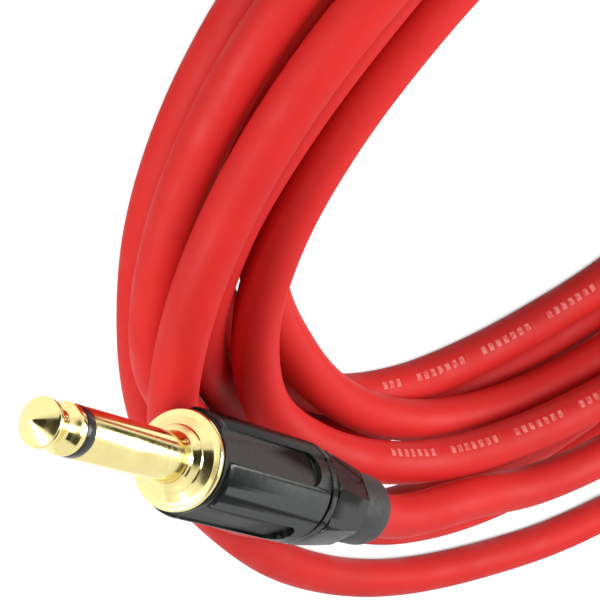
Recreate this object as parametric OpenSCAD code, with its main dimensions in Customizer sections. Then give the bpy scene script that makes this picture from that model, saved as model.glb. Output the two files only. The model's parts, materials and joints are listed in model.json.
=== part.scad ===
// Instrument cable: a round shielded lead laid in seven loops, with a straight two-contact
// 6.35 mm phone plug on each end. Plug a rests on the pile of loops, plug b lies beside it.
// Millimetres, +Z up. The origin is on the surface under the cable, midway between the plugs.

/* [Cable] */
// Diameter over the jacket
cable_d = 6.5; // [5.8:0.1:6.8]
// Diameter of the inner insulation
core_d = 3.6; // [3:0.1:3.8]
// Thickness of the braided screen
braid_t = 0.4; // [0.2:0.05:0.6]
// Diameter of the bare conductor
conductor_d = 0.8; // [0.5:0.05:1]
// Length of conductor bared behind the tip's lug
wire_bare = 2; // [1:0.5:3]
// Length of core bared in front of the jacket
core_bare = 3; // [2:0.5:4]

/* [Contacts] */
// Diameter of the plug's shaft
shaft_d = 6.35; // [6.2:0.01:6.4]
// Length of the shaft from the flange's rim to the point
shaft_l = 30.5; // [29:0.1:32]
// Length of the tip contact
tip_l = 7; // [6:0.1:8]
// Length of the point's cone
cone_l = 2.1; // [1.6:0.1:2.4]
// Diameter of the ball behind the point
ball_d = 6.1; // [5.8:0.05:6.2]
// Diameter of the waist behind the ball
waist_d = 4.3; // [3.8:0.1:4.8]
// Length of the black ring between the contacts
ring_l = 1.6; // [1:0.1:2]
// Diameter of the rod that carries the tip
rod_d = 2.4; // [2:0.1:2.6]
// Outer diameter of the insulating tube around the rod
tube_d = 3.8; // [3.2:0.1:4.2]

/* [Flange] */
// Step from the shell's outline in to the gold flange's rim
flange_in = 0.6; // [0.3:0.1:0.9]
// Thickness of the flange behind its rim
flange_l = 1.2; // [0.9:0.1:2]
// Width of the flat between the flange's rim and the step on its face
step_in = 1.2; // [0.8:0.1:1.6]
// Diameter of the collar at the root of the shaft
collar_d = 8.4; // [7.6:0.1:9]
// Height of the step and of the collar, each
step_h = 0.8; // [0.5:0.1:1.2]
// Thickness of the black washer behind the flange
washer_t = 0.5; // [0.3:0.1:1]

/* [Thread] */
// Step from the thread up to the shell's bore
bore_step = 0.2; // [0.1:0.05:0.3]
// Length of that thread
thread_l = 7; // [5:0.5:8]

/* [Lugs] */
// Thickness of the screen's lug
lug_t = 0.8; // [0.6:0.1:1]
// Width of the screen's lug
lug_w = 3.2; // [2.4:0.1:3.6]
// Length of the clamp that grips the jacket
clamp_l = 8; // [5:0.5:9]
// Opening between the clamp's fingers
clamp_gap = 4.4; // [3:0.2:5]
// Thickness of the fibre washer between the lugs
fibre_t = 1; // [0.6:0.1:1.4]
// Thickness of the tip's lug
tip_lug_t = 0.6; // [0.4:0.1:0.8]
// Length of the tip's lug behind its eye
tip_lug_l = 6.4; // [5.5:0.1:7]

/* [Shell] */
// Diameter of the shell
shell_d = 14.2; // [13.8:0.1:15]
// Length of the shell's parallel barrel
barrel_l = 29; // [27:0.5:33]
// Length of the shell's faceted taper
taper_l = 10; // [8:0.5:12]
// Drop of the taper from the barrel to the shell's rear end
taper_h = 1.2; // [0.9:0.1:1.5]
// Wall of the shell's barrel
shell_t = 1.5; // [1.4:0.05:1.6]
// Thickness of the shell's rear wall
rear_t = 3.2; // [2.4:0.1:3.4]
// Number of flutes round the barrel
flutes = 4; // [3:1:6]
// Width of a flute
flute_w = 4.8; // [3:0.2:5.6]
// Depth of a flute at its middle
flute_h = 0.7; // [0.5:0.05:0.8]
// Length of a flute
flute_l = 23; // [16:0.5:24]
// Turn of the first flute from the plug's underside
flute_turn = 60; // [0:5:90]
// Number of flats round the taper
flats = 8; // [6:1:12]
// Width of the two grooves behind the flutes
groove_w = 0.7; // [0.4:0.1:0.9]
// Depth of those grooves
groove_h = 0.35; // [0.2:0.05:0.5]
// Wall of the insulating liner
liner_t = 0.4; // [0.2:0.05:0.6]

/* [Boot] */
// Diameter of the boot behind the shell
boot_d = 10.4; // [9.8:0.1:11]
// Length of the boot behind the shell
boot_l = 8.8; // [6:0.1:11]
// Diameter of the boot's neck in the shell
neck_d = 9; // [8.4:0.1:9.4]

/* [Fits] */
// Clearance round pieces that are pressed or soldered together
fit = 0.02; // [0.01:0.01:0.05]
// Clearance round pieces that turn or slide
run = 0.1; // [0.05:0.01:0.15]

/* [Lie] */
// Heading of plug a's point, from +X
plug_a_turn = -77; // [-80:1:-74]
// Rise of plug a's point
plug_a_rise = 3.2; // [2:0.1:4]

/* [Hidden] */
$fn = 64;
eps = 0.01;

// Radii of the cable, from the jacket inwards
cable_r = cable_d / 2;
core_r = core_d / 2;
screen_r = core_r + fit + braid_t;
wire_r = conductor_d / 2;
rod_r = rod_d / 2;

// Places along a plug: z = 0 at the flange's rim, the point at +Z
shaft_r = shaft_d / 2;
shell_r = shell_d / 2;
bore_r = shell_r - shell_t;
thread_r = bore_r - bore_step;
rear_r = shell_r - taper_h;
flange_r = shell_r - flange_in;
step_r = flange_r - step_in;
tube_r = tube_d / 2;
ring_z = shaft_l - tip_l;
sleeve_z = ring_z - ring_l;
flange_z = -flange_l;
shell_z = flange_z - washer_t;
thread_z = flange_z - thread_l;
ground_z = thread_z - lug_t;
fibre_z = ground_z - fibre_t;
eye_z = fibre_z - tip_lug_t;
rivet_z = eye_z - 0.8;
tip_lug_z = eye_z - tip_lug_l;
core_z = tip_lug_z - wire_bare;
jacket_z = core_z - core_bare;
clamp_z = jacket_z - 1;
liner_z = thread_z - 1;
taper_z = shell_z - barrel_l;
rear_z = taper_z - taper_l;
wall_z = rear_z + rear_t;
boot_z = rear_z - boot_l;
arm_x = cable_r + fit;
tail_r = (arm_x - core_r) / 2 - fit;
tail_x = (arm_x + core_r) / 2;
wire_x = -rod_r - 1;
tip_arm_x = wire_x - wire_r - fit - tip_lug_t;
mid_groove_z = taper_z + 1.2;

// The two plugs: point's heading, its rise and the place of the flange's rim
plug_a_at = [75.6, -68.7, 28];
plug_a = [plug_a_turn, plug_a_rise, plug_a_at];
plug_b_at = [-54.5, 91.3, shell_r];
plug_b = [180, 0, plug_b_at];

function heading(p) = [cos(p[1]) * cos(p[0]), cos(p[1]) * sin(p[0]), sin(p[1])];
function on_axis(p, z) = p[2] + z * heading(p);

// The loops: each row is one turn, counted from plug a, and its pairs are the distance
// from the coil's middle and the height at the angles of STATIONS
coil_at = [1, -28.7];
STATIONS = [120, 180, 235, 290, 335, 350, 375, 420];
ENTRY = [[36, 61.2, 22.4], [60, 64.6, 21.2]];
LOOPS = [
    [[68, 21.2], [69.8, 17.6], [70, 17.7], [72, 17.2], [78.5, 17], [79.5, 14.9], [75.6, 12.2], [72.8, 8.6]],
    [[68.5, 5.4], [64.8, 3.5], [63.8, 9.6], [62, 11.5], [69, 8.9], [67.3, 6.4], [66, 3.6], [55, 3.4]],
    [[56, 3.4], [57, 3.4], [58.8, 3.4], [63, 3.4], [63.9, 3.4], [60.6, 3.4], [58, 3.4], [47.8, 3.4]],
    [[48.6, 3.4], [49.5, 3.4], [51.6, 3.4], [55.5, 3.4], [57.4, 6.6], [56.2, 9], [55.5, 10.5], [55, 10.6]],
    [[54, 10.3], [53, 10.3], [53, 10.6], [54.5, 12.5], [62.8, 12.7], [64.2, 14], [59.6, 16.9], [53.3, 18.2]],
    [[62, 15.5], [68.6, 10.2], [71.5, 10.5], [75.5, 10.4], [76.8, 10.2], [74, 9.6], [75.5, 4.2], [92.5, 3.4]],
    [[81, 3.4], [74.2, 3.4], [72.6, 3.4], [73.5, 3.4], [75, 3.4], [77.5, 3.4], [84.4, 3.4], [111, 3.4]]
];
RING_STEP = 15;

// The run from the last loop to plug b
LEAD_B = [[45, 79.3, 3.4], [36, 85.8, 3.5], [26, 89.8, 4.4], [15, 91.3, 6.2]];

// A coil's points: a smooth curve through its stations, in polar steps of about RING_STEP
stations = concat(ENTRY, [for (i = [0:len(LOOPS) - 1], j = [0:len(STATIONS) - 1])
    [360 * i + STATIONS[j], LOOPS[i][j][0], LOOPS[i][j][1]]]);

function polar(s) = [coil_at.x + s[1] * cos(s[0]), coil_at.y + s[1] * sin(s[0]), s[2]];
function slope(s, k) = let (a = max(k - 1, 0), b = min(k + 1, len(s) - 1))
    (s[b] - s[a]) / (s[b][0] - s[a][0]);
function between(s, k, t) = let (h = s[k + 1][0] - s[k][0])
    (2 * t ^ 3 - 3 * t ^ 2 + 1) * s[k] + (t ^ 3 - 2 * t ^ 2 + t) * h * slope(s, k)
    + (3 * t ^ 2 - 2 * t ^ 3) * s[k + 1] + (t ^ 3 - t ^ 2) * h * slope(s, k + 1);
function steps(s, k) = max(1, round((s[k + 1][0] - s[k][0]) / RING_STEP));
function turns(s) = [for (k = [0:len(s) - 2], i = [0:steps(s, k) - 1])
    polar(between(s, k, i / steps(s, k)))];

coil_path = concat([on_axis(plug_a, boot_z), on_axis(plug_a, boot_z - cable_d)],
    turns(stations), [polar(stations[len(stations) - 1])]);
lead_path = concat(LEAD_B, [on_axis(plug_b, boot_z - cable_d - run), on_axis(plug_b, boot_z)]);

// A tube swept along points, square to the headings given for its two ends
function unit(v) = v / norm(v);
function headings(p, first, last) = let (n = len(p) - 1)
    [for (i = [0:n]) i == 0 ? first : i == n ? last : unit(p[i + 1] - p[i - 1])];
function ring(at, dir, r, sides) = let (u = unit(cross(dir, [0, 0, 1])), v = cross(u, dir))
    [for (k = [0:sides - 1]) at + r * (cos(360 * k / sides) * u + sin(360 * k / sides) * v)];
function side_faces(rings, n) = [for (i = [0:rings - 2], k = [0:n - 1], half = [0, 1])
    let (a = i * n + k, b = i * n + (k + 1) % n)
    half == 0 ? [a, b, b + n] : [a, b + n, a + n]];
function cap(first, n, flip) = [for (k = [1:n - 2])
    flip ? [first, first + k, first + k + 1] : [first, first + k + 1, first + k]];

module tube(path, dirs, r, sides) {
    rings = len(path);
    polyhedron(
        points = [for (i = [0:rings - 1]) each ring(path[i], dirs[i], r, sides)],
        faces = concat(side_faces(rings, sides), cap(0, sides, false),
            cap((rings - 1) * sides, sides, true)));
}

// Least gap between the coil's own turns, over points more than half a loop apart
joint_dir = unit(LEAD_B[0] - coil_path[len(coil_path) - 2]);
coil_dirs = headings(coil_path, -heading(plug_a), joint_dir);
lead_dirs = headings(concat([coil_path[len(coil_path) - 1]], lead_path), joint_dir,
    heading(plug_b));
function near(p, a, b) = let (d = b - a, t = max(0, min(1, (p - a) * d / (d * d))))
    norm(p - a - t * d);
coil_gap = min([for (i = [0:len(coil_path) - 1], j = [i + 12:1:len(coil_path) - 2])
    near(coil_path[i], coil_path[j], coil_path[j + 1])]) - cable_d;
echo(coil_least_gap_mm = coil_gap);

// Plug pieces, in the plug's own frame
module at_plug(p) {
    translate(p[2]) rotate([0, 90 - p[1], p[0]]) children();
}

module rod(r, top, bottom) {
    translate([0, 0, bottom]) cylinder(r = r, h = top - bottom);
}

module pipe(r, bore, top, bottom) {
    difference() {
        rod(r, top, bottom);
        rod(bore, top + 1, bottom - 1);
    }
}

module tip() {
    ball_z = shaft_l - cone_l;
    neck_z = ball_z - 2.3;
    color("gold") rotate_extrude() polygon([
        [0, rivet_z], [1.6, rivet_z], [1.8, rivet_z + 0.3], [1.8, eye_z], [rod_r, eye_z],
        [rod_r, ring_z], [shaft_r - 0.2, ring_z], [shaft_r, ring_z + 0.2],
        [shaft_r, ring_z + 0.9], [shaft_r - 0.5, ring_z + 1.5], [waist_d / 2, neck_z - 0.3],
        [waist_d / 2, neck_z + 0.2], [waist_d / 2 + 0.25, neck_z + 0.9],
        [ball_d / 2 - 0.15, ball_z - 0.5], [ball_d / 2, ball_z - 0.15],
        [ball_d / 2 - 0.05, ball_z + 0.15], [ball_d / 2 - 0.3, ball_z + 0.4],
        [0.5, shaft_l - 0.15], [0, shaft_l]]);
}

module insulator() {
    color("#141414") rotate_extrude() polygon([
        [rod_r + fit, ground_z], [tube_r, ground_z], [tube_r, sleeve_z],
        [shaft_r, sleeve_z], [shaft_r, ring_z], [rod_r + fit, ring_z]]);
}

module sleeve() {
    color("gold") rotate_extrude() polygon([
        [tube_r + fit, thread_z], [thread_r - 0.5, thread_z], [thread_r, thread_z + 0.5],
        [thread_r, flange_z], [flange_r - 0.5, flange_z], [flange_r - 0.15, flange_z + 0.15],
        [flange_r, flange_z + 0.5], [flange_r, -0.35], [flange_r - 0.12, -0.1],
        [flange_r - 0.4, 0], [step_r + 0.2, 0], [step_r, 0.2],
        [step_r, step_h - 0.2], [step_r - 0.2, step_h], [collar_d / 2, step_h],
        [collar_d / 2, 2 * step_h - 0.3], [collar_d / 2 - 0.3, 2 * step_h],
        [shaft_r + 0.45, 2 * step_h], [shaft_r + 0.12, 2 * step_h + 0.2],
        [shaft_r, 2 * step_h + 0.6], [shaft_r, sleeve_z], [tube_r + fit, sleeve_z]]);
}

module washer() {
    color("#101010") pipe(flange_r, thread_r + fit, flange_z, shell_z);
}

module ground_lug() {
    color("silver") difference() {
        union() {
            rod(arm_x + lug_t, thread_z, ground_z);
            translate([arm_x, -lug_w / 2, clamp_z - clamp_l])
                cube([lug_t, lug_w, ground_z - clamp_z + clamp_l + eps]);
            rod(arm_x + lug_t, clamp_z, clamp_z - clamp_l);
        }
        rod(tube_r + fit, thread_z + 1, ground_z - 1);
        rod(arm_x, clamp_z + 1, clamp_z - clamp_l - 1);
        translate([-arm_x - lug_t - 1, -clamp_gap / 2, clamp_z - clamp_l - 1])
            cube([arm_x + lug_t + 1, clamp_gap, clamp_l + 2]);
    }
}

module fibre_washer() {
    color("#7a4a2a") pipe(arm_x - fit, rod_r + fit, ground_z, fibre_z);
}

module tip_lug() {
    color("silver") difference() {
        union() {
            rod(rod_d, fibre_z, eye_z);
            translate([tip_arm_x, -rod_r, eye_z]) cube([-tip_arm_x, rod_d, tip_lug_t]);
            translate([tip_arm_x, -rod_r, tip_lug_z]) cube([tip_lug_t, rod_d, tip_lug_l + eps]);
        }
        rod(rod_r + fit, fibre_z + 1, eye_z - 1);
    }
}

module jacket() {
    color("crimson") pipe(cable_r, screen_r + fit, jacket_z, boot_z);
}

module screen() {
    color("peru") {
        pipe(screen_r, core_r + fit, jacket_z + 1.2, boot_z);
        translate([tail_x, 0, 0]) rod(tail_r, tip_lug_z + 3, jacket_z + 0.1);
    }
}

module core() {
    color("white") pipe(core_r, wire_r + fit, core_z, boot_z);
}

module conductor() {
    low = [0, 0, core_z + 0.6];
    high = [wire_x, 0, tip_lug_z + 0.8];
    lean = atan2(wire_x, high.z - low.z);
    color("peru") {
        rod(wire_r, low.z, boot_z);
        translate(low) sphere(r = wire_r);
        translate(low) rotate([0, lean, 0]) cylinder(r = wire_r, h = norm(high - low));
        translate(high) sphere(r = wire_r);
        translate(high) cylinder(r = wire_r, h = 2.4);
    }
}

module tip_solder() {
    color("lightgray") difference() {
        translate([wire_x + 0.2, 0, tip_lug_z + 2.2]) sphere(r = 1);
        translate([wire_x, 0, 0]) rod(wire_r + fit, tip_lug_z + 3.2 + fit, tip_lug_z);
        translate([wire_x - wire_r - fit - rod_d, -rod_d, tip_lug_z])
            cube([rod_d + eps, 2 * rod_d, tip_lug_l]);
    }
}

module ground_solder() {
    color("lightgray") difference() {
        translate([tail_x, 0, tip_lug_z + 2.8]) sphere(r = tail_r + 0.5);
        translate([tail_x, 0, 0]) rod(tail_r + fit, tip_lug_z + 3 + fit, tip_lug_z - 2);
        translate([arm_x - fit, -lug_w, tip_lug_z]) cube([lug_w, 2 * lug_w, tip_lug_l]);
    }
}

module liner() {
    color("#d8d4c4") pipe(bore_r - run, bore_r - run - liner_t, liner_z, wall_z + 2.2);
}

module boot() {
    r = boot_d / 2;
    hole = cable_r + run;
    head_z = wall_z + run;
    color("#1a1a1a") rotate_extrude() polygon([
        [hole, boot_z], [r - 1.3, boot_z], [r - 0.6, boot_z + 0.25], [r - 0.2, boot_z + 0.8],
        [r - 0.1, boot_z + 1.6], [r, rear_z - run], [neck_d / 2, rear_z - run],
        [neck_d / 2, head_z], [bore_r - run - 0.1, head_z], [bore_r - run - 0.1, head_z + 1.8],
        [hole, head_z + 1.8]]);
}

module flute() {
    r = flute_w / 2;
    translate([shell_r - flute_h, 0, shell_z]) rotate([0, 90, 0]) linear_extrude(flute_h + 1) {
        translate([-1, -r]) square([flute_l - r + 1, flute_w]);
        translate([flute_l - r, 0]) circle(r = r);
    }
}

module groove(z) {
    rotate_extrude() translate([shell_r - groove_h, z - groove_w / 2])
        square([groove_h + 1, groove_w]);
}

module shell() {
    lean = atan((shell_r - rear_r) / taper_l);
    color("#3c3e3c") difference() {
        rotate_extrude() polygon([
            [thread_r + run, shell_z], [shell_r - 0.7, shell_z], [shell_r - 0.2, shell_z - 0.3],
            [shell_r, shell_z - 0.9], [shell_r, taper_z], [rear_r + 0.2, rear_z + 0.8],
            [rear_r, rear_z + 0.3], [rear_r - 0.4, rear_z], [neck_d / 2 + run, rear_z],
            [neck_d / 2 + run, wall_z], [bore_r, wall_z], [bore_r, liner_z + 0.4],
            [thread_r + run, liner_z + 0.7]]);
        for (i = [0:flutes - 1]) rotate(flute_turn + 360 * i / flutes) flute();
        for (z = [mid_groove_z, mid_groove_z + 2]) groove(z);
        for (i = [0:flats - 1]) rotate(360 * (i + 0.5) / flats)
            translate([shell_r * cos(180 / flats) + 0.1, 0, taper_z]) rotate([0, lean, 0])
                translate([0, -shell_r, -taper_l - 1]) cube([3, shell_d, taper_l + 2]);
    }
}

module coil() {
    color("red") tube(coil_path, coil_dirs, cable_r, 6);
}

module lead_b() {
    color("red") tube(concat([coil_path[len(coil_path) - 1]], lead_path), lead_dirs, cable_r, 8);
}

at_plug(plug_a) tip();  // tip_a
at_plug(plug_a) insulator();  // insulator_a
at_plug(plug_a) sleeve();  // sleeve_a
at_plug(plug_a) washer();  // washer_a
at_plug(plug_a) ground_lug();  // ground_lug_a
at_plug(plug_a) fibre_washer();  // fibre_washer_a
at_plug(plug_a) tip_lug();  // tip_lug_a
at_plug(plug_a) jacket();  // jacket_a
at_plug(plug_a) screen();  // screen_a
at_plug(plug_a) core();  // core_a
at_plug(plug_a) conductor();  // conductor_a
at_plug(plug_a) tip_solder();  // tip_solder_a
at_plug(plug_a) ground_solder();  // ground_solder_a
at_plug(plug_a) liner();  // liner_a
at_plug(plug_a) boot();  // boot_a
at_plug(plug_a) shell();  // shell_a
at_plug(plug_b) tip();  // tip_b
at_plug(plug_b) insulator();  // insulator_b
at_plug(plug_b) sleeve();  // sleeve_b
at_plug(plug_b) washer();  // washer_b
at_plug(plug_b) ground_lug();  // ground_lug_b
at_plug(plug_b) fibre_washer();  // fibre_washer_b
at_plug(plug_b) tip_lug();  // tip_lug_b
at_plug(plug_b) jacket();  // jacket_b
at_plug(plug_b) screen();  // screen_b
at_plug(plug_b) core();  // core_b
at_plug(plug_b) conductor();  // conductor_b
at_plug(plug_b) tip_solder();  // tip_solder_b
at_plug(plug_b) ground_solder();  // ground_solder_b
at_plug(plug_b) liner();  // liner_b
at_plug(plug_b) boot();  // boot_b
at_plug(plug_b) shell();  // shell_b
coil();
lead_b();
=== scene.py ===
"""A coiled instrument cable with a straight phone plug on each end, dressed over its CAD frame."""

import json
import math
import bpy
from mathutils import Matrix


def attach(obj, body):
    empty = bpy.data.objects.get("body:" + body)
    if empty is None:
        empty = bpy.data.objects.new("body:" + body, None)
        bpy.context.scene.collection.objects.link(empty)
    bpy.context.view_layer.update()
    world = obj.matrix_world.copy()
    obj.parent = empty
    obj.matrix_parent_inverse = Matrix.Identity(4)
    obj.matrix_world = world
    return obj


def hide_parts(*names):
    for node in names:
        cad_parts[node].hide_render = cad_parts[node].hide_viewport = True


bl_info = {
    "name": "Instrument Cable",
    "version": (1, 0, 0),
    "blender": (4, 5, 0),
    "location": "View3D > Sidebar > Cable",
    "description": "Builds a coiled instrument cable with a phone plug on each end",
    "category": "Add Mesh",
}

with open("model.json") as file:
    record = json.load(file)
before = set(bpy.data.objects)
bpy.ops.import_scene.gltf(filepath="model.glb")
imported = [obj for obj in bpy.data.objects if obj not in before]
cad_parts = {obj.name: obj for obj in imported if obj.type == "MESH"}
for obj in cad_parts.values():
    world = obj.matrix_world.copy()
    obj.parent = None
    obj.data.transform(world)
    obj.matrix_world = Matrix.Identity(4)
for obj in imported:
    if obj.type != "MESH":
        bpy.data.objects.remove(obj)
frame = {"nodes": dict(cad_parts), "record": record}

import bmesh
import bpy
from bpy.props import FloatProperty, FloatVectorProperty, IntProperty, PointerProperty
from mathutils import Matrix, Vector

MM = 0.001
TURN = 2 * math.pi
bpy.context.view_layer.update()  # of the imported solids, before they are dressed

# Places on a plug's axis, in millimetres in front of its flange's rim
MOUNT_AT = 12
SHELL_FRONT = -1.7
SHELL_REAR = -40.7
BOOT_END = -49.5

# The row of dashes on the jacket: its place round the cable and its half width in turns, where its
# first group starts along the cable, and the repeat and printed share of each dash, word and group
MARK_LANE = 0.52
MARK_HALF_WIDTH = 0.03
MARK_START = 0.587
MARK_REPEATS = ((1.5 * MM, 0.55), (13.5 * MM, 0.78), (0.667, 0.072))

# The stage, in metres: what the camera and the lamps look at, each lamp's place, and the size and
# place of each dark card
AIM = Vector((0.051, -0.0337, 0))
CAMERA_DISTANCE = 0.317
LAMP_SIZE = 0.26
LAMPS = {"key": (0.45, -0.38, 0.12), "rim": (-0.35, 0.15, 0.35), "fill": (-0.24, -0.21, 0.43)}
CARDS = {
    "front_flag": ((0.8, 0.5), (-0.35, -0.75, 0.42)),
    "side_flag": ((0.5, 0.22), (-0.62, 0.30, 0.19)),
    "lens_flag": ((0.17, 0.21), (0.12, -0.36, 0.17)),
    "top_flag": ((0.34, 0.34), (0.07, -0.16, 0.46)),
}


# ---------------------------------------------------------------- places

def plug_frames():
    """Where each plug lies: its flange's rim and its heading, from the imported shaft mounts."""
    found = {}
    for mount in frame["record"]["mounts"]:
        heading = Vector(mount["axis"]).normalized()
        rim = Vector(mount["pos_m"]) - MOUNT_AT * MM * heading
        turn = math.atan2(heading.y, heading.x)
        tilt = math.pi / 2 - math.asin(heading.z)
        place = (
            Matrix.Translation(rim)
            @ Matrix.Rotation(turn, 4, "Z")
            @ Matrix.Rotation(tilt, 4, "Y")
        )
        plug = mount["name"].split("_")[1]
        found[plug] = {"rim": rim, "heading": heading, "place": place}
    return found


PLUGS = plug_frames()

# The cable's way, in millimetres: each row of LOOPS is one turn, and its pairs are the
# distance from the coil's middle and the height at the angles of STATIONS. ENTRY holds
# the angle, distance and height of the points before the first turn, and LEAD_B the
# points from the coil to plug b.
COIL_AT = (1, -28.7)
STATIONS = (120, 180, 235, 290, 335, 350, 375, 420)
ENTRY = [(36, 61.2, 22.4), (60, 64.6, 21.2)]
LOOPS = [
    [(68, 21.2), (69.8, 17.6), (70, 17.7), (72, 17.2), (78.5, 17), (79.5, 14.9), (75.6, 12.2), (72.8, 8.6)],
    [(68.5, 5.4), (64.8, 3.5), (63.8, 9.6), (62, 11.5), (69, 8.9), (67.3, 6.4), (66, 3.6), (55, 3.4)],
    [(56, 3.4), (57, 3.4), (58.8, 3.4), (63, 3.4), (63.9, 3.4), (60.6, 3.4), (58, 3.4), (47.8, 3.4)],
    [(48.6, 3.4), (49.5, 3.4), (51.6, 3.4), (55.5, 3.4), (57.4, 6.6), (56.2, 9), (55.5, 10.5), (55, 10.6)],
    [(54, 10.3), (53, 10.3), (53, 10.6), (54.5, 12.5), (62.8, 12.7), (64.2, 14), (59.6, 16.9), (53.3, 18.2)],
    [(62, 15.5), (68.6, 10.2), (71.5, 10.5), (75.5, 10.4), (76.8, 10.2), (74, 9.6), (75.5, 4.2), (92.5, 3.4)],
    [(81, 3.4), (74.2, 3.4), (72.6, 3.4), (73.5, 3.4), (75, 3.4), (77.5, 3.4), (84.4, 3.4), (111, 3.4)],
]
LEAD_B = [(45, 79.3, 3.4), (36, 85.8, 3.5), (26, 89.8, 4.4), (15, 91.3, 6.2)]


def on_axis(plug, z):
    """The point on a plug's axis that is z millimetres in front of its flange's rim."""
    return PLUGS[plug]["rim"] + z * MM * PLUGS[plug]["heading"]


def hermite(a, b, slope_a, slope_b, span, t):
    """The point at share t of a smooth step from a to b, with the given slopes at its ends."""
    return (
        (2 * t**3 - 3 * t**2 + 1) * a
        + (t**3 - 2 * t**2 + t) * span * slope_a
        + (3 * t**2 - 2 * t**3) * b
        + (t**3 - t**2) * span * slope_b
    )


def coil_points():
    """The coil's points, one every 15 degrees or so, through the stations of each turn."""
    stations = [Vector(s) for s in ENTRY]
    for i, row in enumerate(LOOPS):
        stations += [Vector((360 * i + s, r, z)) for s, (r, z) in zip(STATIONS, row)]

    def slope(k):
        a, b = max(k - 1, 0), min(k + 1, len(stations) - 1)
        return (stations[b] - stations[a]) / (stations[b][0] - stations[a][0])

    def polar(s):
        angle = math.radians(s[0])
        return MM * Vector(
            (COIL_AT[0] + s[1] * math.cos(angle), COIL_AT[1] + s[1] * math.sin(angle), s[2])
        )

    points = []
    for k in range(len(stations) - 1):
        a, b = stations[k], stations[k + 1]
        span = b[0] - a[0]
        steps = max(1, round(span / 15))
        for i in range(steps):
            points.append(polar(hermite(a, b, slope(k), slope(k + 1), span, i / steps)))
    return points + [polar(stations[-1])]


# ---------------------------------------------------------------- sizes and colours

class CableSizes(bpy.types.PropertyGroup):
    """Sizes of the cable between the two boots"""

    diameter: FloatProperty(
        name="Diameter",
        description="Diameter over the jacket",
        default=6.5 * MM,
        unit="LENGTH",
        precision=4,
    )
    sides: IntProperty(name="Sides", description="Sides of the jacket's round", default=32, min=12, max=64)
    ring_step: FloatProperty(
        name="Ring step",
        description="Distance between rings along the cable",
        default=2.4 * MM,
        unit="LENGTH",
    )
    colour: FloatVectorProperty(
        name="Jacket",
        description="Colour of the jacket",
        subtype="COLOR",
        size=3,
        default=(0.62, 0.019, 0.017),
    )
    mark_colour: FloatVectorProperty(
        name="Marks",
        description="Colour of the row of dashes",
        subtype="COLOR",
        size=3,
        default=(0.80, 0.27, 0.24),
    )


class PlugSizes(bpy.types.PropertyGroup):
    """Sizes of a plug, all measured from the rim of its flange"""

    shaft_r: FloatProperty(
        name="Shaft radius",
        description="Radius of the shaft that enters the jack",
        default=frame["record"]["mounts"][0]["dims"]["r_mm"] * MM,
        unit="LENGTH",
    )
    shaft_l: FloatProperty(
        name="Shaft length", description="Rim to point", default=30.5 * MM, unit="LENGTH"
    )
    tip_l: FloatProperty(
        name="Tip length", description="Length of the tip contact", default=7 * MM, unit="LENGTH"
    )
    shell_r: FloatProperty(
        name="Shell radius", description="Radius of the barrel", default=7.1 * MM, unit="LENGTH"
    )
    flute_w: FloatProperty(
        name="Flute width", description="Width of a flute", default=4.8 * MM, unit="LENGTH"
    )
    flute_h: FloatProperty(
        name="Flute depth", description="Depth of a flute", default=0.7 * MM, unit="LENGTH"
    )
    flute_l: FloatProperty(
        name="Flute length", description="Length of a flute", default=23 * MM, unit="LENGTH"
    )
    flats: IntProperty(name="Flats", description="Flats round the taper", default=8, min=6, max=12)
    gold: FloatVectorProperty(
        name="Gold",
        description="Colour of the plating",
        subtype="COLOR",
        size=3,
        default=(0.92, 0.79, 0.35),
    )
    shell: FloatVectorProperty(
        name="Shell",
        description="Colour of the shell",
        subtype="COLOR",
        size=3,
        default=(0.015, 0.017, 0.016),
    )
    boot: FloatVectorProperty(
        name="Boot",
        description="Colour of the boot",
        subtype="COLOR",
        size=3,
        default=(0.034, 0.033, 0.033),
    )


class StageSizes(bpy.types.PropertyGroup):
    """The stage: camera, floor and lights"""

    lens: FloatProperty(name="Lens", description="Focal length", default=132.0, unit="CAMERA")
    elevation: FloatProperty(
        name="Elevation", description="Camera above the horizon", default=math.radians(33), subtype="ANGLE"
    )
    roll: FloatProperty(
        name="Roll",
        description="Camera's turn about its own view",
        default=math.radians(138),
        subtype="ANGLE",
    )
    key: FloatProperty(
        name="Key light", description="Power of the low lamp in front", default=2.25, unit="POWER"
    )
    rim: FloatProperty(
        name="Rim light", description="Power of the lamp behind", default=1.9, unit="POWER"
    )
    fill: FloatProperty(
        name="Fill light", description="Power of the high lamp", default=1.4, unit="POWER"
    )
    room: FloatProperty(
        name="Room light",
        description="Strength of the light from all round",
        default=0.36,
        subtype="FACTOR",
    )


# ---------------------------------------------------------------- materials

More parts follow.
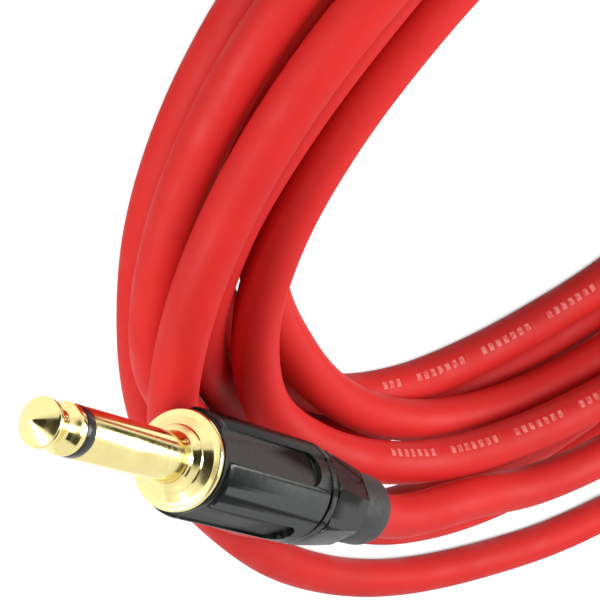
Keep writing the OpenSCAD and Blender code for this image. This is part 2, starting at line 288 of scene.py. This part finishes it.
class Finish:
    """A material whose nodes are added one by one and end in a Principled shader."""

    def __init__(self, name, **sockets):
        self.material = bpy.data.materials.new(name)
        self.material.use_nodes = True
        self.tree = self.material.node_tree
        self.tree.nodes.clear()
        self.out = self.tree.nodes.new("ShaderNodeOutputMaterial")
        self.shader = self.add("BsdfPrincipled", **sockets)
        self.tree.links.new(self.shader.outputs[0], self.out.inputs[0])
        self.object = self.add("TexCoord").outputs["Object"]

    def add(self, kind, settings=None, **sockets):
        """Adds a node, with its settings and the values or links of its sockets."""
        node = self.tree.nodes.new("ShaderNode" + kind)
        for name, value in (settings or {}).items():
            setattr(node, name, value)
        for name, value in sockets.items():
            self.put(node, name.replace("_", " "), value)
        return node

    def put(self, node, name, value):
        """Gives a socket a value, or links it to another node's output. i2 is the socket of index 2."""
        by_index = name[0] == "i" and name[1:].isdigit()
        socket = node.inputs[int(name[1:]) if by_index else name]
        if isinstance(value, bpy.types.NodeSocket):
            self.tree.links.new(value, socket)
        else:
            socket.default_value = value

    def math(self, operation, *values):
        """One step of arithmetic on one or two values."""
        node = self.add("Math", {"operation": operation})
        for i, value in enumerate(values):
            self.put(node, f"i{i}", value)
        return node.outputs[0]

    def noise(self, scale, detail=3.0, roughness=0.55, at=None):
        """Noise from 0 to 1, on the object's coordinates or on others."""
        node = self.add("TexNoise", Scale=scale, Detail=detail, Roughness=roughness)
        self.put(node, "Vector", at or self.object)
        return node.outputs["Fac"]

    def ramp(self, value, *stops):
        """A smooth scale of colours: stops are (place, colour) pairs."""
        node = self.add("ValToRGB", Fac=value)
        ramp = node.color_ramp
        while len(ramp.elements) < len(stops):
            ramp.elements.new(0.5)
        for element, (place, colour) in zip(ramp.elements, stops):
            element.position, element.color = place, (*colour, 1)
        return node.outputs["Color"]

    def scale_of(self, value, low, high, to_low, to_high):
        """The value, eased from one range into another."""
        node = self.add("MapRange", {"interpolation_type": "SMOOTHSTEP"})
        for i, x in enumerate((value, low, high, to_low, to_high)):
            self.put(node, f"i{i}", x)
        return node.outputs[0]

    def mix(self, factor, a, b):
        """Colour a, turned into colour b by the factor."""
        node = self.add("Mix", {"data_type": "RGBA"})
        self.put(node, "i0", factor)
        for name, colour in (("i6", a), ("i7", b)):
            linked = isinstance(colour, bpy.types.NodeSocket)
            self.put(node, name, colour if linked else (*colour, 1))
        return node.outputs[2]

    def bump(self, height, strength, distance, after=None):
        """A normal with relief, on top of an earlier one if given."""
        node = self.add("Bump", Strength=strength, Distance=distance, Height=height)
        if after is not None:
            self.put(node, "Normal", after)
        return node.outputs[0]

    def set(self, **sockets):
        """Sets the shader's sockets and gives the finished material."""
        for name, value in sockets.items():
            self.put(self.shader, name.replace("_", " "), value)
        return self.material


def shade(colour, amount):
    """The colour, lighter or darker by a factor."""
    return tuple(min(1.0, c * amount) for c in colour)


def plug_space(finish, plug):
    """Coordinates in a plug's own frame, with Z along its axis."""
    place = PLUGS[plug]["place"]
    node = finish.add("Mapping", {"vector_type": "TEXTURE"}, Vector=finish.object)
    finish.put(node, "Location", place.to_translation())
    finish.put(node, "Rotation", place.to_euler())
    return node.outputs[0]


def dash_row(f):
    """One on the dashes along the jacket and zero beside them, by the UV: turns round, metres along."""
    split = f.add("SeparateXYZ", Vector=f.add("TexCoord").outputs["UV"])
    off_lane = f.math("ABSOLUTE", f.math("SUBTRACT", split.outputs[0], MARK_LANE))
    start = f.math("SUBTRACT", split.outputs[1], MARK_START)
    ink = f.math("LESS_THAN", off_lane, MARK_HALF_WIDTH)
    for repeat, share in MARK_REPEATS:
        printed = f.math("LESS_THAN", f.math("FRACT", f.math("DIVIDE", start, repeat)), share)
        ink = f.math("MULTIPLY", ink, printed)
    return ink


def jacket_finish(cable, name="jacket_pvc", marks=True):
    """Satin soft PVC with a faint mottle, pale specks, a fine grain and a row of plain worn dashes."""
    f = Finish(name, Specular_IOR_Level=0.22)
    red = tuple(cable.colour)
    cloud = f.noise(34, 4, 0.6)
    grain = f.noise(900, 3, 0.6)
    tone = f.ramp(cloud, (0.25, shade(red, 0.86)), (0.5, red), (0.78, shade(red, 1.09)))
    speck = f.scale_of(f.noise(2600, 2, 0.7), 0.66, 0.78, 0.0, 0.14)
    tone = f.mix(speck, tone, (0.93, 0.30, 0.27))
    rough = f.scale_of(f.noise(140, 4, 0.6), 0.3, 0.7, 0.5, 0.66)
    if marks:
        worn = f.scale_of(f.noise(1500, 2, 0.5), 0.40, 0.55, 0.25, 0.7)
        tone = f.mix(f.math("MULTIPLY", dash_row(f), worn), tone, tuple(cable.mark_colour))
    bump = f.bump(grain, 0.3, 0.06 * MM)
    bump = f.bump(f.noise(210, 3, 0.5), 0.14, 0.25 * MM, bump)
    return f.set(Base_Color=tone, Roughness=rough, Normal=bump)


def gold_finish(colour, plug):
    """Polished gold plate with fine turning lines round the plug's axis and a few hazy patches."""
    f = Finish(f"gold_plate_{plug}", Metallic=1.0)
    x, y, z = f.add("SeparateXYZ", Vector=plug_space(f, plug)).outputs
    radius = f.math("SQRT", f.math("ADD", f.math("MULTIPLY", x, x), f.math("MULTIPLY", y, y)))
    turned = f.add("CombineXYZ", X=radius, Y=z).outputs[0]
    lines = f.noise(5200, 2, 0.7, turned)
    rings = f.noise(1300, 2, 0.5, turned)
    haze = f.noise(260, 4, 0.6)
    gold = tuple(colour)
    tone = f.ramp(haze, (0.3, shade(gold, 0.93)), (0.62, gold), (0.8, (1.0, 0.83, 0.42)))
    rough = f.scale_of(f.math("ADD", haze, f.math("MULTIPLY", rings, 0.6)), 0.5, 1.1, 0.10, 0.24)
    bump = f.bump(lines, 0.10, 0.02 * MM)
    bump = f.bump(rings, 0.16, 0.03 * MM, bump)
    return f.set(Base_Color=tone, Roughness=rough, Normal=bump)


def shell_finish(colour, plug):
    """Satin black-nickel plate: dark, faintly green, with fine blasted grain, and lighter along its sharp
    edges.
    """
    f = Finish(
        f"shell_plate_{plug}",
        Metallic=0.75,
        Specular_IOR_Level=0.2,
        Specular_Tint=(0.3, 0.3, 0.3, 1),
        Coat_Weight=0.08,
        Coat_Roughness=0.2,
    )
    dark = tuple(colour)
    cloud = f.noise(420, 4, 0.6)
    tone = f.ramp(cloud, (0.3, shade(dark, 0.82)), (0.6, dark), (0.85, shade(dark, 1.25)))
    # Lighter where the mesh is pointy, along its sharp edges.
    edge = f.scale_of(f.add("NewGeometry").outputs["Pointiness"], 0.52, 0.60, 0.0, 0.35)
    tone = f.mix(edge, tone, (0.24, 0.25, 0.24))
    rough = f.scale_of(f.noise(900, 3, 0.6), 0.3, 0.7, 0.24, 0.34)
    bump = f.bump(f.noise(6500, 2, 0.6), 0.14, 0.02 * MM)
    return f.set(Base_Color=tone, Roughness=rough, Normal=bump)


def rubber_finish(name, colour, rough=(0.5, 0.68), grain=0.22):
    """Matte moulded rubber or plastic with a fine spark-eroded grain."""
    f = Finish(name, Specular_IOR_Level=0.4)
    base = tuple(colour)
    tone = f.ramp(f.noise(300, 4, 0.6), (0.3, shade(base, 0.8)), (0.6, base), (0.85, shade(base, 1.3)))
    roughness = f.scale_of(f.noise(1100, 3, 0.6), 0.3, 0.7, *rough)
    bump = f.bump(f.noise(5200, 2, 0.6), grain, 0.04 * MM)
    return f.set(Base_Color=tone, Roughness=roughness, Normal=bump)


def metal_finish(name, colour, rough=(0.25, 0.42), streak=1.0):
    """Plain stamped or drawn metal with a dull bloom, brushed along Z: the more streak, the shorter."""
    f = Finish(name, Metallic=1.0)
    base = tuple(colour)
    stretch = f.add("Mapping", Vector=f.object, Scale=(1, 1, 0.08 * streak + 0.02))
    tone = f.ramp(f.noise(240, 4, 0.6), (0.3, shade(base, 0.82)), (0.6, base), (0.85, shade(base, 1.08)))
    roughness = f.scale_of(f.noise(700, 3, 0.6), 0.3, 0.7, *rough)
    bump = f.bump(f.noise(2600, 2, 0.6, stretch.outputs[0]), 0.2, 0.03 * MM)
    return f.set(Base_Color=tone, Roughness=roughness, Normal=bump)


def braid_finish():
    """Woven copper screen: two sets of crossing strands in light and shadow."""
    f = Finish("copper_braid", Metallic=1.0)
    lines = []
    for way in (1, -1):
        turn = f.add("Mapping", Vector=f.object, Rotation=(0, 0, way * math.radians(52)))
        wave = f.add("TexWave", {"wave_type": "BANDS"}, Vector=turn.outputs[0], Scale=620, Distortion=0.4)
        lines.append(wave.outputs["Fac"])
    weave = f.math("MAXIMUM", *lines)
    dark, middle, light = (0.22, 0.09, 0.045), (0.72, 0.34, 0.19), (0.93, 0.55, 0.38)
    tone = f.ramp(weave, (0.1, dark), (0.55, middle), (0.95, light))
    rough = f.scale_of(weave, 0, 1, 0.5, 0.25)
    return f.set(Base_Color=tone, Roughness=rough, Normal=f.bump(weave, 0.6, 0.1 * MM))


# ---------------------------------------------------------------- shaping

def start_piece():
    """Goes back to object mode with nothing selected, before a primitive is added."""
    if bpy.context.object and bpy.context.object.mode != "OBJECT":
        bpy.ops.object.mode_set(mode="OBJECT")
    bpy.ops.object.select_all(action="DESELECT")


def only(obj):
    """Makes a piece the only one selected, and the active one."""
    bpy.ops.object.select_all(action="DESELECT")
    obj.select_set(True)
    bpy.context.view_layer.objects.active = obj


def lathe(name, outline, steps=96):
    """Turns an outline of (radius, height) points in millimetres about the Z axis. It runs from
    axis to axis, or is closed into a ring where its ends are off the axis."""
    start_piece()
    bpy.ops.mesh.primitive_plane_add(size=MM)
    obj = bpy.context.object
    obj.name = obj.data.name = name
    bpy.ops.object.mode_set(mode="EDIT")
    bpy.ops.mesh.select_all(action="SELECT")
    bpy.ops.mesh.merge(type="CENTER")
    r, z = outline[0]
    bpy.ops.transform.translate(value=(r * MM, 0, z * MM))
    for (r0, z0), (r1, z1) in zip(outline, outline[1:]):
        move = ((r1 - r0) * MM, 0, (z1 - z0) * MM)
        bpy.ops.mesh.extrude_region_move(TRANSFORM_OT_translate={"value": move})
    if outline[0][0] > 0:
        mesh = bmesh.from_edit_mesh(obj.data)
        for v in mesh.verts:
            v.select_set(len(v.link_edges) == 1)
        mesh.select_flush(True)
        bpy.ops.mesh.edge_face_add()
    bpy.ops.mesh.select_all(action="SELECT")
    bpy.ops.mesh.spin(steps=steps, angle=TURN, center=(0, 0, 0), axis=(0, 0, 1), use_auto_merge=True)
    bpy.ops.mesh.select_all(action="SELECT")
    bpy.ops.mesh.remove_doubles(threshold=1e-6)
    bpy.ops.mesh.normals_make_consistent(inside=False)
    bpy.ops.object.mode_set(mode="OBJECT")
    return obj


def cut(obj, tool):
    """Cuts a tool's shape out of a piece and removes the tool."""
    only(obj)
    modifier = obj.modifiers.new("cut", "BOOLEAN")
    modifier.operation, modifier.object, modifier.solver = "DIFFERENCE", tool, "EXACT"
    bpy.ops.object.modifier_apply(modifier=modifier.name)
    bpy.data.objects.remove(tool)


def finish_piece(obj, plug, body, node, material, edge=0, smooth=38):
    """Smooths a piece up to an angle, puts it on its plug and hands it to the frame. Where edge is
    set, the edges sharper than that angle are broken by so many millimetres first."""
    only(obj)
    if edge:
        bevel = obj.modifiers.new("edges", "BEVEL")
        bevel.width = edge * MM
        bevel.segments = 2
        bevel.limit_method = "ANGLE"
        bevel.angle_limit = math.radians(smooth)
        bevel.use_clamp_overlap = True
        bpy.ops.object.modifier_apply(modifier=bevel.name)
    bpy.ops.object.shade_smooth_by_angle(angle=math.radians(smooth))
    obj.matrix_world = PLUGS[plug]["place"]
    bpy.ops.object.transform_apply(location=True, rotation=True, scale=True)
    obj.data.materials.clear()
    obj.data.materials.append(material)
    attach(obj, body)
    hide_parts(node)


def pair(make):
    """Makes a piece once and copies it for the second plug, each copy with its own mesh."""
    first = make()
    second = first.copy()
    second.data = first.data.copy()
    bpy.context.collection.objects.link(second)
    return {"a": first, "b": second}


# ---------------------------------------------------------------- operators

class CABLE_OT_stage(bpy.types.Operator):
    """Set the camera, the pale floor and the soft lamps"""

    bl_idname = "cable.stage"
    bl_label = "Stage"

    def execute(self, context):
        s = context.scene.cable_stage
        camera = bpy.data.objects.new("camera", bpy.data.cameras.new("camera"))
        context.collection.objects.link(camera)
        camera.data.lens, camera.data.sensor_width = s.lens, 36
        camera.data.clip_start = 0.01
        camera.matrix_world = (
            Matrix.Translation(AIM)
            @ Matrix.Rotation(math.pi / 2 - s.elevation, 4, "X")
            @ Matrix.Translation((0, 0, CAMERA_DISTANCE))
            @ Matrix.Rotation(s.roll, 4, "Z")
        )
        context.scene.camera = camera

        self.floor()
        self.world(s.room)
        for name, at in LAMPS.items():
            self.lamp(name, getattr(s, name), Vector(at))
        for name, (size, at) in CARDS.items():
            self.card(name, size, Vector(at))
        return {"FINISHED"}

    @staticmethod
    def floor():
        """A grey floor that reads as white away from the cable and keeps its shadow, with painted shade in
        the gaps between strands, where ambient occlusion dims its white emission.
        """
        start_piece()
        bpy.ops.mesh.primitive_plane_add(size=6)
        floor = bpy.context.object
        floor.name = "floor"
        f = Finish("pale_floor", Base_Color=(0.2, 0.2, 0.2, 1), Roughness=0.7)
        path = f.add("LightPath").outputs
        seen = f.math("MAXIMUM", path["Is Camera Ray"], path["Is Glossy Ray"])
        seen = f.math("MAXIMUM", seen, path["Is Transmission Ray"])
        # Painted shade: ambient occlusion dims the floor's white emission near the strands, so the gaps
        # between and under them read dark.
        gap_shade_ao = f.add("AmbientOcclusion", {"samples": 12}, Distance=60 * MM).outputs["AO"]
        glow_with_painted_shade = f.scale_of(gap_shade_ao, 0.03, 0.13, 0.0, 0.96)
        glow_with_painted_shade = f.add("Emission", Color=(1, 1, 1, 1), Strength=f.math("MULTIPLY", seen, glow_with_painted_shade))
        both = f.add("AddShader", i0=f.shader.outputs[0], i1=glow_with_painted_shade.outputs[0])
        f.tree.links.new(both.outputs[0], f.out.inputs[0])
        floor.data.materials.append(f.material)

    @staticmethod
    def world(room):
        """Even light from all round, white to the camera and in reflections."""
        world = bpy.data.worlds.new("studio")
        bpy.context.scene.world = world
        world.use_nodes = True
        nodes, links = world.node_tree.nodes, world.node_tree.links
        nodes.clear()
        out, back = nodes.new("ShaderNodeOutputWorld"), nodes.new("ShaderNodeBackground")
        path = nodes.new("ShaderNodeLightPath")
        seen = path.outputs["Is Camera Ray"]
        for kind in ("Is Glossy Ray", "Is Transmission Ray"):
            either = nodes.new("ShaderNodeMath")
            either.operation = "MAXIMUM"
            links.new(seen, either.inputs[0])
            links.new(path.outputs[kind], either.inputs[1])
            seen = either.outputs[0]
        level = nodes.new("ShaderNodeMapRange")
        links.new(seen, level.inputs["Value"])
        level.inputs["To Min"].default_value = room
        level.inputs["To Max"].default_value = 1.0
        links.new(level.outputs[0], back.inputs["Strength"])
        back.inputs["Color"].default_value = (1, 1, 1, 1)
        links.new(back.outputs[0], out.inputs[0])

    @staticmethod
    def lamp(name, power, at):
        """A square lamp that faces the cable."""
        lamp = bpy.data.objects.new(name, bpy.data.lights.new(name, "AREA"))
        bpy.context.collection.objects.link(lamp)
        lamp.data.energy = power
        lamp.data.size = LAMP_SIZE
        lamp.location = at
        lamp.rotation_euler = (AIM - at).to_track_quat("-Z", "Y").to_euler()

    @staticmethod
    def card(name, size, at):
        """A dark card that faces the cable and is seen only in reflections."""
        start_piece()
        bpy.ops.mesh.primitive_plane_add(size=1)
        card = bpy.context.object
        card.name = name
        card.scale = (*size, 1)
        card.location = at
        card.rotation_euler = (AIM - at).to_track_quat("Z", "Y").to_euler()
        f = Finish(name, Roughness=0.9)
        tone = f.ramp(f.noise(9, 2), (0.3, (0.010, 0.008, 0.005)), (0.7, (0.03, 0.024, 0.014)))
        card.data.materials.append(f.set(Base_Color=tone))
        card.visible_camera = False
        card.visible_diffuse = False
        card.visible_shadow = False


class CABLE_OT_cord(bpy.types.Operator):
    """Sweep the jacket along the cable's way from boot to boot"""

    bl_idname = "cable.cord"
    bl_label = "Cord"

    def execute(self, context):
        s = context.scene.cable_sizes
        # The cable leaves each boot straight, for about one diameter.
        keys = [on_axis("a", BOOT_END), on_axis("a", BOOT_END - 6.5)] + coil_points()
        keys += [MM * Vector(p) for p in LEAD_B] + [on_axis("b", BOOT_END - 6.6), on_axis("b", BOOT_END)]
        path = self.smooth(keys, -PLUGS["a"]["heading"], PLUGS["b"]["heading"], s.ring_step, s.diameter / 2)
        cord = bpy.data.objects.new("cord", self.tube(path, s.diameter / 2, s.sides))
        context.collection.objects.link(cord)
        cord.data.materials.append(jacket_finish(s))
        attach(cord, "cable")
        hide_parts("coil", "lead_b")
        context.scene["cord_way"] = [x for point, _ in path for x in point]
        return {"FINISHED"}

    @staticmethod
    def tube(path, radius, sides):
        """A capped tube along pairs of point and heading. Its UVs are turns round and metres along."""
        rings, along = [], 0.0
        side = path[0][1].cross(Vector((0, 0, 1))).normalized()
        verts, uvs = [], []
        for i, (point, way) in enumerate(path):
            along += (point - path[i - 1][0]).length if i else 0.0
            side = (side - side.dot(way) * way).normalized()
            up = way.cross(side)
            for k in range(sides):
                a = TURN * k / sides
                verts.append(point + radius * (math.cos(a) * side + math.sin(a) * up))
            rings.append(along)
        faces = []
        for i in range(len(path) - 1):
            for k in range(sides):
                n = (k + 1) % sides
                faces.append((i * sides + k, i * sides + n, (i + 1) * sides + n, (i + 1) * sides + k))
                u0, u1 = k / sides, (k + 1) / sides
                uvs += [(u0, rings[i]), (u1, rings[i]), (u1, rings[i + 1]), (u0, rings[i + 1])]
        last = (len(path) - 1) * sides
        faces += [tuple(range(sides - 1, -1, -1)), tuple(range(last, last + sides))]
        uvs += [(0, 0)] * (2 * sides)
        mesh = bpy.data.meshes.new("cord")
        mesh.from_pydata(verts, [], faces)
        layer = mesh.uv_layers.new(name="along")
        for loop, uv in zip(layer.data, uvs):
            loop.uv = uv
        mesh.polygons.foreach_set("use_smooth", [True] * (len(faces) - 2) + [False, False])
        mesh.validate()
        return mesh

    @staticmethod
    def smooth(keys, first, last, step, low):
        """Pairs of point and heading, a step apart, on a smooth curve through the keys that stays
        above the floor."""
        at = [0.0]
        for a, b in zip(keys, keys[1:]):
            at.append(at[-1] + (b - a).length)
        slopes = [first]
        for i in range(1, len(keys) - 1):
            back, on = at[i] - at[i - 1], at[i + 1] - at[i]
            before, after = keys[i] - keys[i - 1], keys[i + 1] - keys[i]
            slopes.append((before * on / back + after * back / on) / (back + on))
        slopes.append(last)
        points = []
        for i in range(len(keys) - 1):
            span = at[i + 1] - at[i]
            n = max(1, round(span / step))
            for k in range(n):
                points.append(hermite(keys[i], keys[i + 1], slopes[i], slopes[i + 1], span, k / n))
        points.append(keys[-1])
        floor = low + 0.05 * MM
        points = [Vector((p.x, p.y, max(p.z, floor))) for p in points]
        ways = [first] + [(b - a).normalized() for a, b in zip(points, points[2:])] + [last]
        return list(zip(points, ways))


class CABLE_OT_contacts(bpy.types.Operator):
    """Turn the gold tip, the black ring and the gold sleeve of each plug"""

    bl_idname = "cable.contacts"
    bl_label = "Contacts"

    def execute(self, context):
        s = context.scene.cable_plug
        r, top = s.shaft_r / MM, s.shaft_l / MM
        ring = top - s.tip_l / MM  # rear of the tip contact
        sleeve = ring - 1.6  # front of the sleeve contact
        ball = top - 2.1  # widest place of the ball
        tip = [
            (0, -11.4), (1.6, -11.4), (1.8, -11.1), (1.8, -10.6), (1.2, -10.6), (1.2, ring),
            (r - 0.2, ring), (r, ring + 0.2), (r, ring + 0.9), (r - 0.2, ring + 1.2),
            (r - 0.5, ring + 1.5), (2.22, ball - 2.72), (2.15, ball - 2.6), (2.15, ball - 2.1),
            (2.2, ball - 1.75), (2.4, ball - 1.4), (2.9, ball - 0.5), (3.02, ball - 0.25),
            (3.05, ball - 0.05), (3.02, ball + 0.15), (2.93, ball + 0.3), (2.75, ball + 0.42),
            (0.55, top - 0.2), (0.3, top - 0.06), (0, top),
        ]
        insulator = [
            (1.22, -9), (1.9, -9), (1.9, sleeve), (r - 0.02, sleeve), (r, sleeve + 0.04),
            (r, ring - 0.04), (r - 0.02, ring), (1.22, ring),
        ]
        rear = -1.2  # rear of the flange
        thread = []
        root, crest, pitch = 4.95, 5.4, 1.0
        z = -7.7
        while z < rear - 0.95:
            thread += [(root, z), (crest, z + 0.42), (crest, z + 0.55), (root, z + 0.95)]
            z += pitch
        body = [
            (1.92, -8.2), (4.7, -8.2), (root, -7.95), *thread, (root, rear - 0.4), (root, rear),
            (6.0, rear), (6.35, rear + 0.15), (6.5, rear + 0.5), (6.5, -0.35), (6.46, -0.18), (6.36, -0.06),
            (6.15, 0), (5.56, 0), (5.48, 0.04), (5.4, 0.1), (4.44, 0.65), (4.36, 0.72), (4.32, 0.86),
            (4.24, 0.94), (3.5, 1.38), (3.36, 1.52), (3.26, 1.74), (3.2, 2.0), (r, 2.3), (r, sleeve - 0.08),
            (r - 0.05, sleeve), (1.92, sleeve),
        ]
        gold = {k: gold_finish(s.gold, k) for k in PLUGS}
        plastic = rubber_finish("ring_plastic", (0.012, 0.012, 0.012), (0.22, 0.34), 0.05)
        black = {k: plastic for k in PLUGS}
        for node, outline, slot, finish in (
            ("tip", tip, "gold", gold),
            ("insulator", insulator, "black_plastic", black),
            ("sleeve", body, "gold", gold),
        ):
            for k, obj in pair(lambda: lathe(node, outline, 128)).items():
                obj.name = obj.data.name = f"turned_{node}_{k}"
                finish_piece(obj, k, "cable", f"{node}_{k}", finish[k])
        return {"FINISHED"}


class CABLE_OT_shell(bpy.types.Operator):
    """Turn each plug's shell, then cut its flutes and the flats of its taper"""

    bl_idname = "cable.shell"
    bl_label = "Shell"

    def execute(self, context):
        s = context.scene.cable_plug
        r = s.shell_r / MM
        front, rear = SHELL_FRONT, SHELL_REAR
        taper = -30.7  # where the barrel ends and the taper starts
        wall = -37.5  # front of the rear wall, which holds the boot's collar
        outline = [
            (5.5, front), (r - 0.7, front), (r - 0.42, front - 0.1), (r - 0.2, front - 0.3),
            (r - 0.05, front - 0.6), (r, front - 0.9), (r, taper + 3.55), (r - 0.35, taper + 3.45),
            (r - 0.35, taper + 2.95), (r, taper + 2.85), (r, taper + 1.55), (r - 0.35, taper + 1.45),
            (r - 0.35, taper + 0.95), (r, taper + 0.85), (r, taper), (6.1, rear + 0.8), (5.9, rear + 0.3),
            (5.78, rear + 0.1), (5.5, rear), (4.6, rear), (4.6, wall), (5.6, wall), (5.6, -8.8), (5.5, -8.5),
        ]

        def make():
            obj = lathe("shell", outline)
            for angle in (60, 150, 240, 330):
                self.flute(obj, s, math.radians(angle))
            for i in range(s.flats):
                self.flat(obj, TURN * (i + 0.5) / s.flats, r, taper, s.flats)
            return obj

        for k, obj in pair(make).items():
            obj.name = obj.data.name = f"fluted_shell_{k}"
            plate = shell_finish(s.shell, k)
            finish_piece(obj, k, f"shell_{k}", f"shell_{k}", plate, edge=0.11, smooth=15)
        return {"FINISHED"}

    @staticmethod
    def flute(shell, s, angle):
        """One long U-ended flute: a round cutter whose front half is drawn out past the shell's mouth."""
        half, height = s.flute_w / 2, 4 * MM
        end = SHELL_FRONT * MM - s.flute_l + half
        start_piece()
        bpy.ops.mesh.primitive_cylinder_add(
            vertices=48,
            radius=half,
            depth=height,
            location=(s.shell_r - s.flute_h + height / 2, 0, end),
            rotation=(0, math.pi / 2, 0),
        )
        tool = bpy.context.object
        bpy.ops.object.transform_apply(location=True, rotation=True, scale=True)
        bpy.ops.object.mode_set(mode="EDIT")
        mesh = bmesh.from_edit_mesh(tool.data)
        for v in mesh.verts:
            v.select_set(v.co.z > end + 1e-5)
        mesh.select_flush(True)
        bpy.ops.transform.translate(value=(0, 0, s.flute_l + 3 * MM))
        bpy.ops.object.mode_set(mode="OBJECT")
        tool.rotation_euler = (0, 0, angle)
        bpy.ops.object.transform_apply(location=True, rotation=True, scale=True)
        cut(shell, tool)

    @staticmethod
    def flat(shell, angle, r, taper, flats):
        """One flat of the taper, leaned in like the taper itself: 1.2 mm in 10 mm."""
        lean = math.atan(1.2 / 10)
        start_piece()
        bpy.ops.mesh.primitive_cube_add(size=1)
        tool = bpy.context.object
        thick, wide, high = 3 * MM, 14.2 * MM, 12 * MM
        tool.scale = (thick, wide, high)
        bpy.ops.object.transform_apply(location=True, rotation=True, scale=True)
        tool.data.transform(Matrix.Translation((thick / 2, 0, 1 * MM - high / 2)))
        tool.data.transform(
            Matrix.Rotation(angle, 4, "Z")
            @ Matrix.Translation(((r * math.cos(math.pi / flats) + 0.1) * MM, 0, taper * MM))
            @ Matrix.Rotation(lean, 4, "Y")
        )
        cut(shell, tool)


class CABLE_OT_boot(bpy.types.Operator):
    """Turn the rubber boot that closes each shell round the cable"""

    bl_idname = "cable.boot"
    bl_label = "Boot"

    def execute(self, context):
        s = context.scene.cable_plug
        rear = SHELL_REAR - 0.1
        outline = [
            (3.35, -49.2), (3.45, -49.42), (3.7, BOOT_END), (3.95, -49.48), (4.25, -49.4),
            (4.6, -49.18), (4.85, -48.9), (5.0, -48.55), (5.08, -48.1), (5.12, -47.5),
            (5.2, rear - 0.25), (5.12, rear - 0.05), (4.9, rear), (4.5, rear), (4.5, -37.4),
            (5.4, -37.4), (5.4, -35.6), (3.35, -35.6),
        ]
        rubber = rubber_finish("boot_rubber", s.boot)
        for k, obj in pair(lambda: lathe("boot", outline)).items():
            obj.name = obj.data.name = f"rubber_boot_{k}"
            finish_piece(obj, k, f"rear_{k}", f"boot_{k}", rubber)
        return {"FINISHED"}


class CABLE_OT_inner(bpy.types.Operator):
    """Finish the washers, lugs, wires, solder and liners inside the plugs"""

    bl_idname = "cable.inner"
    bl_label = "Inner pieces"

    def execute(self, context):
        steel = metal_finish("tinned_steel", (0.70, 0.70, 0.68))
        finishes = {
            "washer": rubber_finish("washer_plastic", (0.010, 0.010, 0.010), (0.3, 0.42), 0.08),
            "ground_lug": steel,
            "tip_lug": steel,
            "fibre_washer": rubber_finish("pressed_fibre", (0.26, 0.12, 0.05), (0.6, 0.8), 0.5),
            "jacket": jacket_finish(context.scene.cable_sizes, "jacket_pvc_inner", marks=False),
            "screen": braid_finish(),
            "core": rubber_finish("core_insulation", (0.80, 0.80, 0.77), (0.35, 0.5), 0.06),
            "conductor": metal_finish("bare_copper", (0.88, 0.45, 0.27), (0.22, 0.36)),
            "tip_solder": metal_finish("tin_solder", (0.66, 0.67, 0.70), (0.18, 0.34), 6.0),
            "ground_solder": metal_finish("tin_solder_grey", (0.60, 0.61, 0.64), (0.22, 0.4), 6.0),
            "liner": rubber_finish("clear_liner", (0.72, 0.69, 0.58), (0.3, 0.45), 0.1),
        }
        for piece, material in finishes.items():
            for k in PLUGS:
                node = frame["nodes"][f"{piece}_{k}"]
                node.data.materials.clear()
                node.data.materials.append(material)
        return {"FINISHED"}


class CABLE_OT_declare(bpy.types.Operator):
    """Clear the cord's stored way, and list the pieces still shown on plug b"""

    bl_idname = "cable.declare"
    bl_label = "Declare the cord"

    def execute(self, context):
        del context.scene["cord_way"]
        dressed = ("turned_tip", "turned_insulator", "turned_sleeve", "fluted_shell", "rubber_boot")
        on_it = [f"{name}_b" for name in dressed]
        for name, node in frame["nodes"].items():
            if name.endswith("_b") and name != "lead_b" and not node.hide_render:
                on_it.append(name)
        return {"FINISHED"}


class CABLE_PT_panel(bpy.types.Panel):
    """The instrument cable's pieces, in the order in which they are made"""

    bl_idname = "CABLE_PT_panel"
    bl_label = "Instrument Cable"
    bl_space_type = "VIEW_3D"
    bl_region_type = "UI"
    bl_category = "Cable"

    def draw(self, context):
        scene, layout = context.scene, self.layout
        for group, operators in (
            (scene.cable_stage, ("stage",)),
            (scene.cable_sizes, ("cord",)),
            (scene.cable_plug, ("contacts", "shell", "boot", "inner", "declare")),
        ):
            box = layout.box()
            for key in type(group).__annotations__:
                box.prop(group, key)
            for name in operators:
                box.operator("cable." + name)


OPERATORS = (
    CABLE_OT_stage,
    CABLE_OT_cord,
    CABLE_OT_contacts,
    CABLE_OT_shell,
    CABLE_OT_boot,
    CABLE_OT_inner,
    CABLE_OT_declare,
)
CLASSES = (CableSizes, PlugSizes, StageSizes, *OPERATORS, CABLE_PT_panel)


def register():
    for cls in CLASSES:
        bpy.utils.register_class(cls)
    bpy.types.Scene.cable_sizes = PointerProperty(type=CableSizes)
    bpy.types.Scene.cable_plug = PointerProperty(type=PlugSizes)
    bpy.types.Scene.cable_stage = PointerProperty(type=StageSizes)


def unregister():
    for name in ("cable_sizes", "cable_plug", "cable_stage"):
        delattr(bpy.types.Scene, name)
    for cls in reversed(CLASSES):
        bpy.utils.unregister_class(cls)


def main():
    register()
    bpy.context.scene.view_settings.view_transform = "Standard"
    for operator in ("stage", "cord", "contacts", "shell", "boot", "inner", "declare"):
        getattr(bpy.ops.cable, operator)()


if __name__ == "__main__":
    main()
